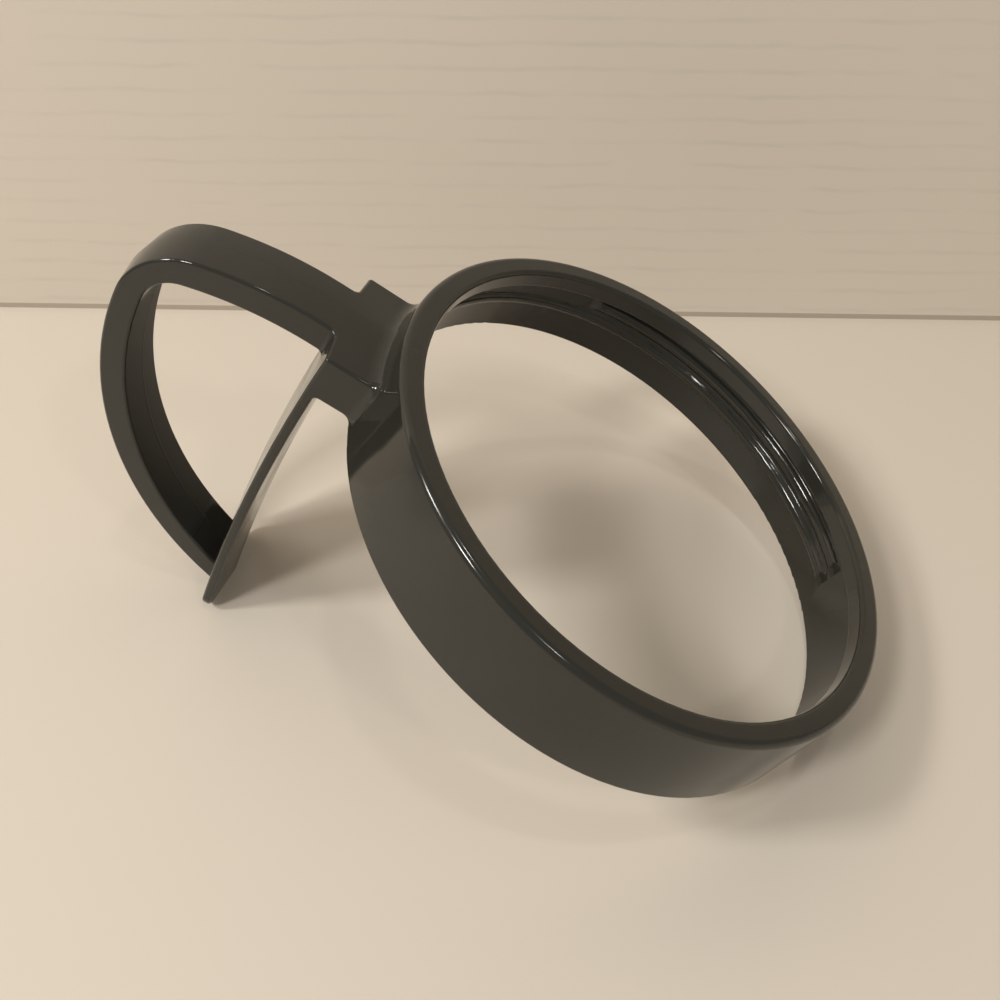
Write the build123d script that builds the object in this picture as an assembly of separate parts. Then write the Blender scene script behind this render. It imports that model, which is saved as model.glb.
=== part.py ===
from build123d import *
from math import asin, atan2, cos, degrees, hypot, radians, sin, sqrt, tan
import os

# Lip ring with a D handle for a personal blender's cup, moulded in one piece.
# It is modelled in the ring's own axes and then leaned into the way it stands:
# x points from the ring's axis to the handle, z along that axis to the drinking lip,
# and z = 0 is the open end that screws down over the cup. Millimetres and degrees.

# Ring
ring_radius = 50.0             # outside, at the open end
ring_wall = 2.4                # at the open end
ring_height = 17.5
ring_draft = 3.4               # the outside wall narrows towards the lip
foot_rounding = 0.6            # outside edge of the open end
socket_mouth_rounding = 0.5
lip_ledge = 2.8                # how far the lip stands in over the cup's rim
lip_thickness = 3.7
lip_outer_rounding = 1.3
lip_inner_rounding = 0.9
lip_under_rounding = 0.5

# Thread: one start, right-handed, broken by a clear sector at the handle and opposite it
thread_pitch = 3.5
thread_height = 1.0
thread_base = 2.8              # width where the ridge leaves the wall
thread_lip_gap = 1.1           # from the first turn up to the underside of the lip
thread_start = -68.0           # where the first turn begins, seen from above the lip
thread_clear = 15.0            # half of each clear sector
thread_run_out = 20.0          # slope of a ridge's ends

# Handle: its mould parts at y = 0, so its faces lean in from there to both sides, and its sizes hold there
handle_top = 11.5
handle_draft = 5.0
handle_rounding = 0.6          # outward edges of the neck, the tongue and the strap

# Neck: the wide block between the ring and the handle
neck_length = 8.4              # from the ring's open end out to the tongue's finger side
neck_bottom = 1.2
neck_width = 24.0
neck_blend = 2.6               # hollow all round the neck where it leaves the ring

# Tongue: the bowed plate along the cup, under the neck
tongue_crest_height = 4.7      # where its finger side stands furthest out
tongue_bow_radius = 385.0      # finger side, in profile
tongue_thickness = 3.8
tongue_reach = 61.2            # below the ring's open end
tongue_corner_radius = 3.5     # seen from the cup
tongue_root_rounding = 0.8     # inner corner under the neck

# Strap: the bow of the D, from the neck round to the tongue's foot
strap_width = 11.8
strap_lead = 2.0               # straight start before the first arc
strap_top_thickness = 6.2
strap_bend_thickness = 5.3
strap_foot_thickness = 5.9     # along the tongue
strap_depth = 32.7             # from the tongue's finger side to the outside of the bend
strap_bend_drop = 17.1         # from the handle's top down to the furthest point
strap_bend_radius = 14.6
strap_inner_bend_radius = 6.4
strap_inner_bend_rise = 1.3    # how much higher the inside has its furthest point
strap_foot_gap = 1.4           # from the tongue's end up to the strap's outside
strap_top_blend = 1.2          # inner corners where it leaves the neck
strap_foot_blend = 0.2         # and where it meets the tongue

socket_radius = ring_radius - ring_wall      # inside wall, which the thread stands on
lip_radius = socket_radius - lip_ledge       # the drinking opening
tongue_crest = ring_radius + neck_length
strap_reach = tongue_crest + strap_depth


def wall_radius(height):
    """Outside radius of the ring at a height above its open end."""
    return ring_radius - height * tan(radians(ring_draft))


def tongue_x(radius, height):
    """How far out the tongue stands in profile at a height, on the arc of that radius about its centre."""
    return tongue_crest - tongue_bow_radius + sqrt(radius ** 2 - (height - tongue_crest_height) ** 2)


def tongue_back_x(height):
    """Where the tongue's finger side is, at a height that is negative below the ring."""
    return tongue_x(tongue_bow_radius, height)


def drawn_in(distance):
    """How far the draft moves a face of the handle in, at a distance from the parting plane."""
    return distance * tan(radians(handle_draft))


lip_under = ring_height - lip_thickness
wall_middle = (socket_radius + wall_radius(ring_height)) / 2
half_neck = neck_width / 2
foot = -tongue_reach
strap_middle = handle_top - strap_bend_drop
strap_inset = tongue_thickness / 3     # how far the strap's ends run into the neck and the tongue
half_strap = strap_width / 2
cut_size = 2 * ring_radius             # longer than anything it cuts
clear_corner = 20.0                    # smallest angle between two faces that counts as a corner


def ring_section():
    """Half section of the ring, with x as the radius and y as the height."""
    outline = FilletPolyline(
        (ring_radius, 0),
        (wall_radius(ring_height), ring_height),
        (lip_radius, ring_height),
        (lip_radius, lip_under),
        (socket_radius, lip_under),
        (socket_radius, 0),
        radius=[
            foot_rounding,
            lip_outer_rounding,
            lip_inner_rounding,
            lip_under_rounding,
            lip_under_rounding,
            socket_mouth_rounding,
        ],
        close=True,
    )
    return make_face(outline)


def ring_half():
    """The ring on the side of the parting plane where y is negative."""
    return Rot(0, 0, 180) * revolve(Plane.XZ * ring_section(), Axis.Z, 180)


def thread_ridge(upper_angle, sweep_angle, upper_height):
    """One unbroken stretch of the thread, running down clockwise from its upper end."""
    lower_angle = upper_angle - sweep_angle
    rise = thread_pitch * sweep_angle / 360
    ridge_radius = (thread_height ** 2 + (thread_base / 2) ** 2) / (2 * thread_height)
    depth = ridge_radius - thread_height
    shaving_size = 4 * thread_base
    path = Helix(thread_pitch, rise, socket_radius + depth)
    seat = Plane(path @ 0, x_dir=(1, 0, 0), z_dir=path % 0)
    crest = ThreePointArc((0, -ridge_radius), (-ridge_radius, 0), (0, ridge_radius))
    profile = make_face(crest + Line(crest @ 1, crest @ 0))
    ridge = sweep(seat * profile, path, is_frenet=True)
    for place, onward in ((0, -1), (1, 1)):
        inward = -Vector((path @ place).X, (path @ place).Y, 0).normalized()
        along = (path % place) * onward
        slope = radians(thread_run_out)
        facing = along * sin(slope) + inward * cos(slope)
        end_point = (path @ place) + inward * depth
        shaving = extrude(Rectangle(shaving_size, shaving_size), shaving_size)
        ridge -= Plane(end_point, x_dir=(0, 0, 1), z_dir=facing) * shaving
    return Pos(0, 0, upper_height - rise) * Rot(0, 0, lower_angle) * ridge


def thread():
    """One and a quarter turns: the first half turn begins late, the others fill their halves."""
    half_turn = 180 - 2 * thread_clear
    first_turn = thread_start + 180 - thread_clear
    top = lip_under - thread_lip_gap - thread_base / 2
    starts = [
        (thread_start, first_turn),
        (-180 - thread_clear, half_turn),
        (-360 - thread_clear, half_turn),
    ]
    ridges = []
    for angle, length in starts:
        height = top - thread_pitch * (thread_start - angle) / 360
        ridges.append(thread_ridge(angle, length, height))
    return ridges


def same(value, target):
    """Whether two lengths agree, to well under a hundredth."""
    return abs(value - target) < 0.005


def angle_section(inset):
    """L-shaped section of the neck and the tongue, with all its sides moved in by the inset."""
    top = handle_top - inset
    bottom = neck_bottom + inset
    end = foot - tongue_thickness
    middle = (bottom + end) / 2
    back_radius = tongue_bow_radius - inset
    cup_radius = tongue_bow_radius - tongue_thickness + inset
    back = ThreePointArc(
        (tongue_x(back_radius, top), top),
        (tongue_x(back_radius, middle), middle),
        (tongue_x(back_radius, end), end),
    )
    cup = ThreePointArc(
        (tongue_x(cup_radius, end), end),
        (tongue_x(cup_radius, middle), middle),
        (tongue_x(cup_radius, bottom), bottom),
    )
    root = wall_middle - half_neck
    sides = Polyline(cup @ 1, (root, bottom), (root, top), back @ 0)
    section = make_face(back + Line(back @ 1, cup @ 0) + cup + sides)
    corner = section.vertices().sort_by_distance(cup @ 1)[0]
    return fillet(corner, tongue_root_rounding)


def angle_half():
    """Half of the neck and the tongue in one, with its foot cut round as seen from the cup."""
    side = angle_section(drawn_in(half_neck))
    bar = loft([Plane.XZ * angle_section(0), Plane.XZ.offset(half_neck) * side], ruled=True)
    outline = FilletPolyline(
        (0, ring_height),
        (0, foot),
        (-half_neck, foot),
        (-half_neck, ring_height),
        radius=[0, 0, tongue_corner_radius, 0],
        close=True,
    )
    bar &= extrude(Plane.YZ * make_face(outline), cut_size)
    return bar - Cylinder(wall_middle, cut_size)


def strap_edge(top, reach, bend_height, bend_radius, end):
    """One side of the strap in profile: a straight start and three arcs, each tangent to the one before."""
    start_x = tongue_back_x(top) + strap_lead
    across = reach - bend_radius - start_x
    down = top - bend_height
    sweep_radius = (across ** 2 + down ** 2 - bend_radius ** 2) / (2 * (down - bend_radius))
    turn = degrees(atan2(across, sweep_radius - down))
    lead = Line((start_x - strap_lead - strap_inset, top), (start_x, top))
    top_arc = JernArc(lead @ 1, lead % 1, sweep_radius, -turn)
    bend = JernArc(top_arc @ 1, top_arc % 1, bend_radius, turn - 90)
    back = TangentArc(bend @ 1, (tongue_back_x(end), end), tangent=bend % 1)
    tail = Line(back @ 1, (back @ 1) + (back % 1) * strap_inset)
    return [lead, top_arc, bend, back, tail]


def rims(body, curves):
    """The edges of the strap's side face that run along the curves."""
    found = []
    for edge in body.edges():
        centre = edge.center()
        spot = Vector(centre.X, centre.Z)
        near = any(curve.distance_to(spot) < strap_inset for curve in curves)
        if near and same(centre.Y, -half_strap):
            found.append(edge)
    return found


def strap_curves(inset):
    """Outside and inside of the strap in section, both moved in by the inset."""
    outer = strap_edge(
        handle_top - inset,
        strap_reach - inset,
        strap_middle,
        strap_bend_radius - inset,
        foot + strap_foot_gap + inset,
    )
    inner = strap_edge(
        handle_top - strap_top_thickness + inset,
        strap_reach - strap_bend_thickness + inset,
        strap_middle + strap_inner_bend_rise,
        strap_inner_bend_radius + inset,
        foot + strap_foot_gap + strap_foot_thickness - inset,
    )
    return outer, inner


def strap_section(inset):
    """Section of the strap, from its start in the neck to its end in the tongue."""
    outer, inner = strap_curves(inset)
    ends = [Line(outer[0] @ 0, inner[0] @ 0), Line(outer[-1] @ 1, inner[-1] @ 1)]
    return make_face(Wire(outer + inner + ends))


def strap_halves():
    """The strap above and below its furthest point. The upper part's outside edges are still sharp."""
    side = strap_section(drawn_in(half_strap))
    strap = loft([Plane.XZ * strap_section(0), Plane.XZ.offset(half_strap) * side], ruled=True)
    outer, inner = strap_curves(drawn_in(half_strap))
    strap = fillet(rims(strap, inner), handle_rounding)
    level = Plane.XY.offset(strap_middle)
    upper = split(strap, bisect_by=level, keep=Keep.TOP)
    lower = split(strap, bisect_by=level, keep=Keep.BOTTOM)
    lower = fillet(rims(lower, outer[2:]), handle_rounding)
    return upper, lower


def corners(body, inward, lowest=2 * foot, highest=ring_height):
    """Edges with a clear corner, inward or outward, within a range of heights and off the parting plane.
    Just beside an inward corner there is material, and beside an outward one there is none."""
    step_aside = handle_rounding / 20
    owners = {}
    for face in body.faces():
        for edge in face.edges():
            owners.setdefault(edge, []).append(face)
    found = []
    for edge, faces in owners.items():
        middle = edge @ 0.5
        off_plane = not same(middle.Y, 0)
        if len(faces) == 2 and off_plane and lowest < middle.Z < highest:
            first, second = [face.normal_at(middle) for face in faces]
            beside = middle + (first - second) * step_aside
            if first.get_angle(second) > clear_corner and body.solid().is_inside(beside) == inward:
                found.append(edge)
    return found


def joins_later(edge):
    """Whether an edge lies on the neck's inner end or on the cut through the strap."""
    middle = edge @ 0.5
    return same(hypot(middle.X, middle.Y), wall_middle) or same(middle.Z, strap_middle)


def handle_half():
    """Half of the neck, the tongue and the strap. The strap's lower end joins last, with its rims round."""
    upper_strap, lower_strap = strap_halves()
    body = angle_half() + upper_strap
    body = fillet(corners(body, True, lowest=strap_middle), strap_top_blend)
    free_edges = [edge for edge in corners(body, False) if not joins_later(edge)]
    body = fillet(free_edges, handle_rounding)
    body += lower_strap
    return fillet(corners(body, True, highest=strap_middle), strap_foot_blend)


def half_part():
    """Half of the handle on half of the ring, with the hollow where they meet."""
    body = ring_half() + handle_half()
    roots = []
    for edge in corners(body, True, lowest=0):
        middle = edge @ 0.5
        if same(hypot(middle.X, middle.Y), wall_radius(middle.Z)):
            roots.append(edge)
    return fillet(roots, neck_blend)


def standing(part):
    """Lean the part back until the ring's far edge and the tongue's foot touch one floor."""
    ring_x = -(wall_radius(foot_rounding) - foot_rounding / cos(radians(ring_draft)))
    ring_z = foot_rounding
    foot_z = foot + handle_rounding
    foot_x = tongue_x(tongue_bow_radius - tongue_thickness + handle_rounding, foot_z)
    span = hypot(foot_x - ring_x, foot_z - ring_z)
    lean = asin((handle_rounding - foot_rounding) / span) - atan2(foot_z - ring_z, foot_x - ring_x)
    part = Rot(0, 0, 180) * Rot(0, -degrees(lean), 0) * part
    floor = ring_x * sin(lean) + ring_z * cos(lean) - foot_rounding
    return Pos(-part.bounding_box().center().X, 0, -floor) * part


lip_ring = half_part()
lip_ring += mirror(lip_ring, about=Plane.XZ)
for ridge in thread():
    lip_ring += ridge

os.makedirs("parts", exist_ok=True)
export_step(standing(lip_ring), "parts/lip_ring.step")
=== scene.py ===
# %% [markdown]
# # A blender cup's lip ring with its D handle
# The ring, its lip, its thread and the handle came out of one mould in one shot, so the object is one
# solid of glossy charcoal plastic. The solid's shape comes ready from the frame. This lesson sets the
# camera, the table and the light, and then spends its time on what makes plain plastic look real: the
# marks of use, a moulded skin, the seam of the mould, a duller inside of the handle, and smooth shading
# over the facets.

# %% Load the frame
import math
import bpy
import bmesh
from mathutils import Matrix, Vector


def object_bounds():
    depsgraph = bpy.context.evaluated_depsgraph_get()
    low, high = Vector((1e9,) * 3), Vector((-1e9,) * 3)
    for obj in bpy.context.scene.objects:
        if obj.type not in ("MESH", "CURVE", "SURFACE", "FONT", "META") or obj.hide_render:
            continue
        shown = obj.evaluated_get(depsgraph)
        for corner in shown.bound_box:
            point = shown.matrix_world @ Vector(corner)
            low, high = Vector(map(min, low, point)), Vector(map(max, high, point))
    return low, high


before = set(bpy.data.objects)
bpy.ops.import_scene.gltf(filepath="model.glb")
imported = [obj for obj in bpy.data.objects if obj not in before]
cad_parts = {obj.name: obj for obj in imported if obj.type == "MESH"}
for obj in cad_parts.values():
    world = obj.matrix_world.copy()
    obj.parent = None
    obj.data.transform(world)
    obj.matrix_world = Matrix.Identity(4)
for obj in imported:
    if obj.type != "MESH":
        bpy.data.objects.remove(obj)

MM = 0.001
cad_low, cad_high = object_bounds()
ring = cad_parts["lip_ring"]
print("frame box in mm:", [round(side / MM, 1) for side in cad_high - cad_low])

# %% [markdown]
# ## Camera
# The view was solved from the ellipse of the lip: a fairly wide lens held close above the table, as a
# phone is. The place is in the frame's millimetres. Three turns aim it: a slight roll about its own line
# of sight, a tip down from the horizon, and a swing towards the handle.

# %% Camera
camera_place = Vector((29.03, -141.45, 162.12)) * MM
camera_down = 42.56
camera_heading = 11.27
camera_roll = 0.29
focal_length = 39.42
sensor_width = 36.0
nearest_seen = 10 * MM

camera_data = bpy.data.cameras.new("camera")
camera_data.lens = focal_length
camera_data.sensor_width = sensor_width
camera_data.clip_start = nearest_seen
camera = bpy.data.objects.new("camera", camera_data)
camera.location = camera_place
swing = Matrix.Rotation(math.radians(camera_heading), 3, "Z")
tip = Matrix.Rotation(math.radians(90 - camera_down), 3, "X")
roll = Matrix.Rotation(math.radians(camera_roll), 3, "Z")
camera.rotation_euler = (swing @ tip @ roll).to_euler()
bpy.context.collection.objects.link(camera)
bpy.context.scene.camera = camera
bpy.context.scene.view_settings.view_transform = "Standard"
print("camera at", [round(value, 3) for value in camera.location], "lens", focal_length)

# %% [markdown]
# ## Helpers for materials
# A material is a tree of small nodes, each with sockets that take a plain value or another node's output.
# A few helpers keep the cells below short. A Mix node has a set of sockets for each kind of data, all with
# the same names, so its colours go by number.

# %% Helpers for materials
MIX_COLOUR_A = 6
MIX_COLOUR_B = 7
MIX_COLOUR_RESULT = 2


def feed(tree, source, socket):
    """Link another node's output to a socket, or set the socket to a plain value."""
    if isinstance(source, bpy.types.NodeSocket):
        tree.links.new(source, socket)
    else:
        socket.default_value = source


def add_node(tree, kind, **sources):
    """A new node with its sockets fed by name; an underscore stands for a space."""
    node = tree.nodes.new(kind)
    for name, source in sources.items():
        feed(tree, source, node.inputs[name.replace("_", " ")])
    return node


def calculate(tree, kind, operation, *sources):
    """The value that a Math or Vector Math node works out from its sources."""
    node = tree.nodes.new(kind)
    node.operation = operation
    for source, socket in zip(sources, node.inputs):
        feed(tree, source, socket)
    return node.outputs["Value"]


def colour_mix(tree, share, first, second):
    """The mix of two colours: the first where the share is 0, the second where it is 1."""
    mix = tree.nodes.new("ShaderNodeMix")
    mix.data_type = "RGBA"
    feed(tree, share, mix.inputs["Factor"])
    feed(tree, first, mix.inputs[MIX_COLOUR_A])
    feed(tree, second, mix.inputs[MIX_COLOUR_B])
    return mix.outputs[MIX_COLOUR_RESULT]


def value_range(tree, source, from_low, from_high, to_low, to_high):
    """One range of values mapped to another, stopping at its ends."""
    ramp = add_node(
        tree,
        "ShaderNodeMapRange",
        Value=source,
        From_Min=from_low,
        From_Max=from_high,
        To_Min=to_low,
        To_Max=to_high,
    )
    return ramp.outputs["Result"]


helpers = (feed, add_node, calculate, colour_mix, value_range)
print("helpers:", [helper.__name__ for helper in helpers])

# %% [markdown]
# ## Table and backdrop
# A plain pale table carries the shadows and gives the gloss something bright to mirror. An upright board
# closes the view behind it, almost square to the line of sight, so that the far inside of the ring mirrors
# a pale wall. One flat plane could do for both, but the gloss would then mirror empty sky. Both are one
# sheet, whose far edge is pulled up.

# %% Table and backdrop
table_half_size = 0.6
backdrop_distance = 106 * MM
backdrop_height = 0.5
backdrop_turn = 10.4

shape = bmesh.new()
bmesh.ops.create_grid(shape, x_segments=1, y_segments=1, size=table_half_size)
far_edge = max(shape.edges, key=lambda edge: sum(corner.co.y for corner in edge.verts))
for corner in far_edge.verts:
    corner.co.y = backdrop_distance
raised = bmesh.ops.extrude_edge_only(shape, edges=[far_edge])
for item in raised["geom"]:
    if isinstance(item, bmesh.types.BMVert):
        item.co.z += backdrop_height
shape.normal_update()
turned_away = [face for face in shape.faces if face.normal.y > face.normal.z]
bmesh.ops.reverse_faces(shape, faces=turned_away)
table_mesh = bpy.data.meshes.new("table")
shape.to_mesh(table_mesh)
shape.free()
table = bpy.data.objects.new("table", table_mesh)
table.rotation_euler.z = math.radians(backdrop_turn)
bpy.context.collection.objects.link(table)
print("table", table_half_size * 2, "m wide, backdrop", backdrop_height, "m high")

# %% [markdown]
# ## Paint of the table and backdrop
# The board's faint ribs are painted shade: a wave in its paint, darker only at its crests, draws thin
# lines that a noise breaks up, standing in for the shaded side of each rib. Ribs in the mesh would take
# many faces, on a sheet that only has to look quiet behind the object. A darker band of painted shade runs
# along the board's foot, just clear of the table, where the gap between board and table lies in shade. A
# wave node counts 20 radians to the unit, which gives its scale for one crest to a rib.

# %% Paint of the table and backdrop
table_colour = (0.74, 0.67, 0.58, 1)
table_roughness = 0.6
# The rib colour is painted shade, darker than the board, laid along the crest of each rib.
rib_shade_colour = (0.69, 0.63, 0.55, 1)
rib_spacing = 5.7 * MM
rib_waver = 1.5
rib_crest_begins = 0.85
rib_break_scale = 60.0
rib_break_low = 0.35
rib_break_high = 0.65
wave_radians = 20
# The joint colour is painted shade for the shaded gap where the board meets the table.
foot_shade_colour = (0.47, 0.41, 0.34, 1)
foot_shade_height = 1.6 * MM
foot_shade_clear = 0.08 * MM

paint = bpy.data.materials.new("table_paint")
paint.use_nodes = True
paint_tree = paint.node_tree
paint_shader = paint_tree.nodes["Principled BSDF"]
paint_places = paint_tree.nodes.new("ShaderNodeTexCoord").outputs["Object"]

ribs = add_node(
    paint_tree,
    "ShaderNodeTexWave",
    Vector=paint_places,
    Scale=math.tau / (wave_radians * rib_spacing),
    Distortion=rib_waver,
)
ribs.bands_direction = "Z"
breaks = add_node(
    paint_tree, "ShaderNodeTexNoise", Vector=paint_places, Scale=rib_break_scale, Detail=3.0
)
crests = value_range(paint_tree, ribs.outputs["Fac"], rib_crest_begins, 1.0, 0.0, 1.0)
unbroken = value_range(paint_tree, breaks.outputs["Fac"], rib_break_low, rib_break_high, 0.0, 1.0)
# Painted rib shade: only the wave's crests darken, where the noise leaves them unbroken.
painted_rib_shade = calculate(paint_tree, "ShaderNodeMath", "MULTIPLY", crests, unbroken)
board_with_rib_shade = colour_mix(paint_tree, painted_rib_shade, table_colour, rib_shade_colour)

paint_axes = add_node(paint_tree, "ShaderNodeSeparateXYZ", Vector=paint_places)
# A thin band of painted shade just above the table, along the board's foot.
foot_shade_middle = foot_shade_height / 2
foot_shade = calculate(
    paint_tree,
    "ShaderNodeMath",
    "COMPARE",
    paint_axes.outputs["Z"],
    foot_shade_middle,
    foot_shade_middle - foot_shade_clear,
)
feed(paint_tree, colour_mix(paint_tree, foot_shade, board_with_rib_shade, foot_shade_colour), paint_shader.inputs["Base Color"])
feed(paint_tree, table_roughness, paint_shader.inputs["Roughness"])
table_mesh.materials.append(paint)
print("ribs", rib_spacing / MM, "mm apart, joint", foot_shade_height / MM, "mm high")

# %% [markdown]
# ## Clear from behind
# The board stands close behind the object and would hide it from a camera there, and the table would hide
# it from one below. So the paint is clear where its back is seen. Hiding the sheet for such views would
# need a change to the script each time, and this works from every side.

# %% Clear from behind
side_seen = paint_tree.nodes.new("ShaderNodeNewGeometry")
clear_back = paint_tree.nodes.new("ShaderNodeBsdfTransparent")
one_sided = add_node(paint_tree, "ShaderNodeMixShader", Fac=side_seen.outputs["Backfacing"])
front_socket, back_socket = one_sided.inputs[1:]
feed(paint_tree, paint_shader.outputs["BSDF"], front_socket)
feed(paint_tree, clear_back.outputs["BSDF"], back_socket)
feed(paint_tree, one_sided.outputs["Shader"], paint_tree.nodes["Material Output"].inputs["Surface"])
print("paint is one-sided on", len(table_mesh.polygons), "faces")

# %% [markdown]
# ## Light
# Four lamps and a weak wash light the object. Two soft lamps stand to the left of the camera, a little
# apart. They draw the shadows back and to the right, and the gloss mirrors them as pairs of short
# highlights. A small lamp almost overhead draws the thin line along the lip's rounded edge, and one on
# the right draws the lines along the handle's rims. The smaller the lamp, the shorter its highlight. The
# wash is warmer than the lamps, so the shadows are a little yellower than the lit table.

# %% Light
lamp_colour = (1.0, 0.975, 0.93)
wash_colour = (1.0, 0.93, 0.82, 1)
wash_strength = 0.30
lamp_distance = 0.9
soft_lamp_size = 0.14
small_lamp_size = 0.05


def area_lamp(name, towards, size, power):
    """A square lamp of warm light, out from the object in a direction and turned to face it."""
    data = bpy.data.lights.new(name, "AREA")
    data.size = size
    data.energy = power
    data.color = lamp_colour
    lamp = bpy.data.objects.new(name, data)
    lamp.location = object_centre + Vector(towards).normalized() * lamp_distance
    lamp.rotation_euler = (object_centre - lamp.location).to_track_quat("-Z", "Y").to_euler()
    bpy.context.collection.objects.link(lamp)


object_centre = (cad_low + cad_high) / 2
area_lamp("left_lamp", towards=(-0.62, -0.33, 0.71), size=soft_lamp_size, power=2.6)
area_lamp("front_lamp", towards=(-0.34, -0.61, 0.71), size=soft_lamp_size, power=2.5)
area_lamp("ceiling_lamp", towards=(0.20, -0.15, 0.95), size=small_lamp_size, power=0.4)
area_lamp("right_lamp", towards=(0.50, -0.50, 0.70), size=small_lamp_size, power=0.45)

world = bpy.data.worlds.new("room")
world.use_nodes = True
room = world.node_tree.nodes["Background"]
room.inputs["Color"].default_value = wash_colour
room.inputs["Strength"].default_value = wash_strength
bpy.context.scene.world = world

# %% [markdown]
# ## Charcoal plastic
# The real part is glossy plastic, coloured right through. Most of what the eye sees on it is mirrored
# table and wall, so the base colour is darker than the part looks. One flat colour and one flat gloss
# would give a computer's plastic. The resin's own tone drifts a little over a few centimetres, so a soft
# noise mixes two close colours. Object coordinates are in metres here, so a noise scale of 40 makes
# patches of about 25 mm. A noise seldom leaves its middle values, so these are spread to the full range.

# %% Charcoal plastic
deep_charcoal = (0.0226, 0.0224, 0.0173, 1)
pale_charcoal = (0.0286, 0.0280, 0.0226, 1)
tone_scale = 40.0
tone_low = 0.3
tone_high = 0.7

plastic = bpy.data.materials.new("charcoal_plastic")
plastic.use_nodes = True
tree = plastic.node_tree
shader = tree.nodes["Principled BSDF"]
places = tree.nodes.new("ShaderNodeTexCoord").outputs["Object"]
tone = add_node(tree, "ShaderNodeTexNoise", Vector=places, Scale=tone_scale, Detail=2.0)
paleness = value_range(tree, tone.outputs["Fac"], tone_low, tone_high, 0.0, 1.0)
resin = colour_mix(tree, paleness, deep_charcoal, pale_charcoal)
ring.data.materials.clear()
ring.data.materials.append(plastic)
print("plastic between", deep_charcoal[:3], "and", pale_charcoal[:3])

# %% [markdown]
# ## Smudges and scratches
# A cup's lip ring is washed and handled. Fingers leave patches where the gloss is a little duller, and
# washing leaves hairline scratches. Both only change the roughness, so they show where a highlight crosses
# them and nowhere else. The scratches are one noise pulled out long along one direction, cut at a high
# level so that only its peaks are left.

# %% Smudges and scratches
clean_roughness = 0.08
handled_roughness = 0.20
smudge_scale = 70.0
smudge_low = 0.45
smudge_high = 0.7
scratch_roughness = 0.08
scratch_turn = (0.5, 0.9, 0.3)
scratch_scale_along = 60.0
scratch_scale_across = 2600.0
scratch_begins = 0.74
scratch_full = 0.80

smudges = add_node(
    tree, "ShaderNodeTexNoise", Vector=places, Scale=smudge_scale, Detail=4.0, Roughness=0.6
)
dulled = value_range(
    tree, smudges.outputs["Fac"], smudge_low, smudge_high, clean_roughness, handled_roughness
)
pulled = add_node(
    tree,
    "ShaderNodeMapping",
    Vector=places,
    Rotation=scratch_turn,
    Scale=(scratch_scale_along, scratch_scale_across, scratch_scale_across),
)
scratches = add_node(
    tree, "ShaderNodeTexNoise", Vector=pulled.outputs["Vector"], Scale=1.0, Detail=1.0
)
scratched = value_range(
    tree, scratches.outputs["Fac"], scratch_begins, scratch_full, 0.0, scratch_roughness
)
worn = calculate(tree, "ShaderNodeMath", "ADD", dulled, scratched)
print("roughness from", clean_roughness, "to", handled_roughness + scratch_roughness)

# %% [markdown]
# ## Dust specks
# A few pale specks of dust lie on the dark plastic. A cell pattern has one middle to a cell, and only the
# points closest to a middle get the dust's colour. The pattern's distances count in cells, so a speck's
# radius is a share of the cell's 9 mm.

# %% Dust specks
speck_colour = (0.42, 0.39, 0.34, 1)
speck_scale = 110.0
speck_radius = 0.012
speck_strength = 0.8

specks = add_node(tree, "ShaderNodeTexVoronoi", Vector=places, Scale=speck_scale)
dust = value_range(
    tree, specks.outputs["Distance"], speck_radius, speck_radius / 2, 0.0, speck_strength
)
feed(tree, colour_mix(tree, dust, resin, speck_colour), shader.inputs["Base Color"])
print("specks", round(2 * speck_radius / speck_scale / MM, 2), "mm across")

# %% [markdown]
# ## Seam of the mould
# The handle's mould opened along the middle plane, and a little resin crept between its halves and left a
# fine seam there. It runs round the finger gap and along the tongue, fades out short of the ring, whose
# mould opened along its axis, and is polished away on the outside of the handle. A bead of mesh would be
# far finer than the facets, so the seam is a height that falls off from the plane on both sides, for a
# bump to use. Two masks keep it to its place: one by how far along the part, one round the gap's middle.

# %% Seam of the mould
seam_height = 0.05 * MM
seam_half_width = 0.22 * MM
seam_reach = 31.5 * MM
seam_fade = 2 * MM
handle_begins = -24 * MM
finger_gap_middle = (-45 * MM, 0, 40 * MM)

axes = add_node(tree, "ShaderNodeSeparateXYZ", Vector=places)
off_plane = calculate(tree, "ShaderNodeMath", "ABSOLUTE", axes.outputs["Y"])
bead = value_range(tree, off_plane, 0.0, seam_half_width, 1.0, 0.0)
on_handle = value_range(tree, axes.outputs["X"], handle_begins, handle_begins - seam_fade, 0.0, 1.0)
from_gap = calculate(tree, "ShaderNodeVectorMath", "DISTANCE", places, finger_gap_middle)
round_gap = value_range(tree, from_gap, seam_reach, seam_reach - seam_fade, 0.0, 1.0)
handle_bead = calculate(tree, "ShaderNodeMath", "MULTIPLY", bead, on_handle)
seam = calculate(tree, "ShaderNodeMath", "MULTIPLY", handle_bead, round_gap)
print("seam", seam_height / MM, "mm high and", 2 * seam_half_width / MM, "mm wide")

# %% [markdown]
# ## Moulded skin
# Moulded plastic is never a perfect mirror. Its skin has a faint ripple a few millimetres across, and
# thicker places sink in a little as they cool, which a broad soft noise stands for. Like the seam, they
# are a few hundredths of a millimetre high at most, too slight for the mesh, yet they bend every mirrored
# line. So the three are bumps, each laid over the one before.

# %% Moulded skin
ripple_height = 0.004 * MM
ripple_scale = 450.0
sink_height = 0.06 * MM
sink_scale = 55.0

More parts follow.
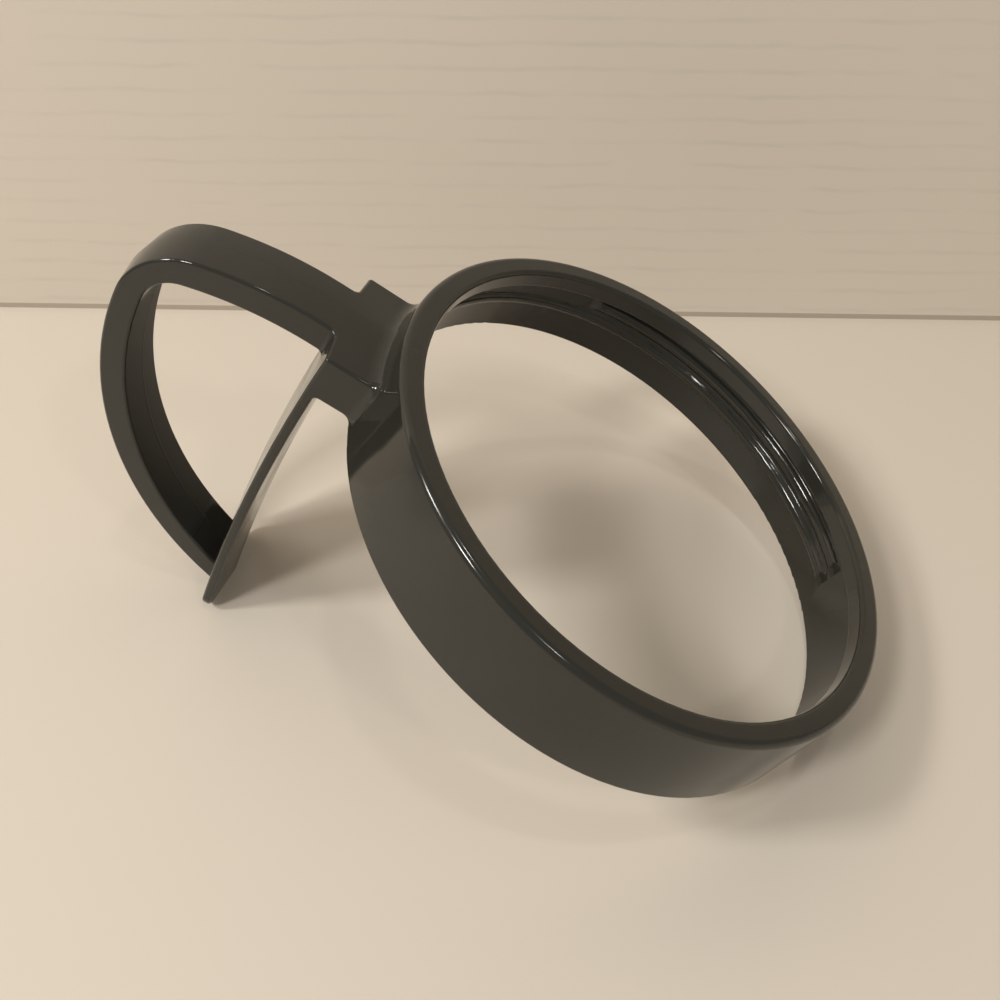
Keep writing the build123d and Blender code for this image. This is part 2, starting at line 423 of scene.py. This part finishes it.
ripple = add_node(tree, "ShaderNodeTexNoise", Vector=places, Scale=ripple_scale, Detail=1.0)
sink = add_node(tree, "ShaderNodeTexNoise", Vector=places, Scale=sink_scale, Detail=0.0)
skin = add_node(tree, "ShaderNodeBump", Strength=1.0, Distance=sink_height, Height=sink.outputs["Fac"])
for height_source, height in ((ripple.outputs["Fac"], ripple_height), (seam, seam_height)):
    skin = add_node(
        tree,
        "ShaderNodeBump",
        Strength=1.0,
        Distance=height,
        Height=height_source,
        Normal=skin.outputs["Normal"],
    )
feed(tree, skin.outputs["Normal"], shader.inputs["Normal"])
print("heights in mm: ripple", ripple_height / MM, "sink", sink_height / MM, "seam", seam_height / MM)

# %% [markdown]
# ## Satin inside the finger gap
# The strap's inner face looks duller than the rest. The likely reason is that two blocks of the mould met
# there at the seam and drew out sideways, which wears their polish. So this face is satin, and it mirrors
# the dark ring and tongue only as a soft gloom. A face is treated so if it lies close to the gap's middle,
# lies beyond the tongue as seen from the ring, and doesn't look out to the side. How far out it lies is
# measured from the frame's origin, square to the leaning ring's axis.

# %% Satin inside the finger gap
satin_roughness = 0.6
side_face_begins = 0.3
side_face_full = 0.6
ring_lean = math.radians(31.74)
beyond_tongue = 56 * MM
satin_fade = 2 * MM

looks = tree.nodes.new("ShaderNodeNewGeometry").outputs["Normal"]
looks_along = add_node(tree, "ShaderNodeSeparateXYZ", Vector=looks)
sideways = calculate(tree, "ShaderNodeMath", "ABSOLUTE", looks_along.outputs["Y"])
satin = value_range(tree, sideways, side_face_full, side_face_begins, 0.0, satin_roughness)
towards_handle = (-math.cos(ring_lean), 0, math.sin(ring_lean))
how_far_out = calculate(tree, "ShaderNodeVectorMath", "DOT_PRODUCT", places, towards_handle)
on_strap = value_range(tree, how_far_out, beyond_tongue, beyond_tongue + satin_fade, 0.0, 1.0)
strap_satin = calculate(tree, "ShaderNodeMath", "MULTIPLY", satin, on_strap)
inner_satin = calculate(tree, "ShaderNodeMath", "MULTIPLY", strap_satin, round_gap)
roughness = calculate(tree, "ShaderNodeMath", "MAXIMUM", worn, inner_satin)
feed(tree, roughness, shader.inputs["Roughness"])
print("roughness inside the finger gap", satin_roughness)

# %% [markdown]
# ## Smooth shading
# The frame's mesh is loose flat triangles. A Weld modifier joins them where they meet, and smooth shading
# then rounds the facets away. On its own that would also bend the broad flat faces near their rounded
# edges, so weighted normals let the largest face at each point decide. Subdividing would not help here,
# because the shape is already exact and only its shading is rough.

# %% Smooth shading
weld_distance = 0.002 * MM

ring.data.shade_smooth()
weld = ring.modifiers.new("join_facets", "WELD")
weld.merge_threshold = weld_distance
even = ring.modifiers.new("even_normals", "WEIGHTED_NORMAL")
even.mode = "FACE_AREA"
print("triangles", len(ring.data.polygons))
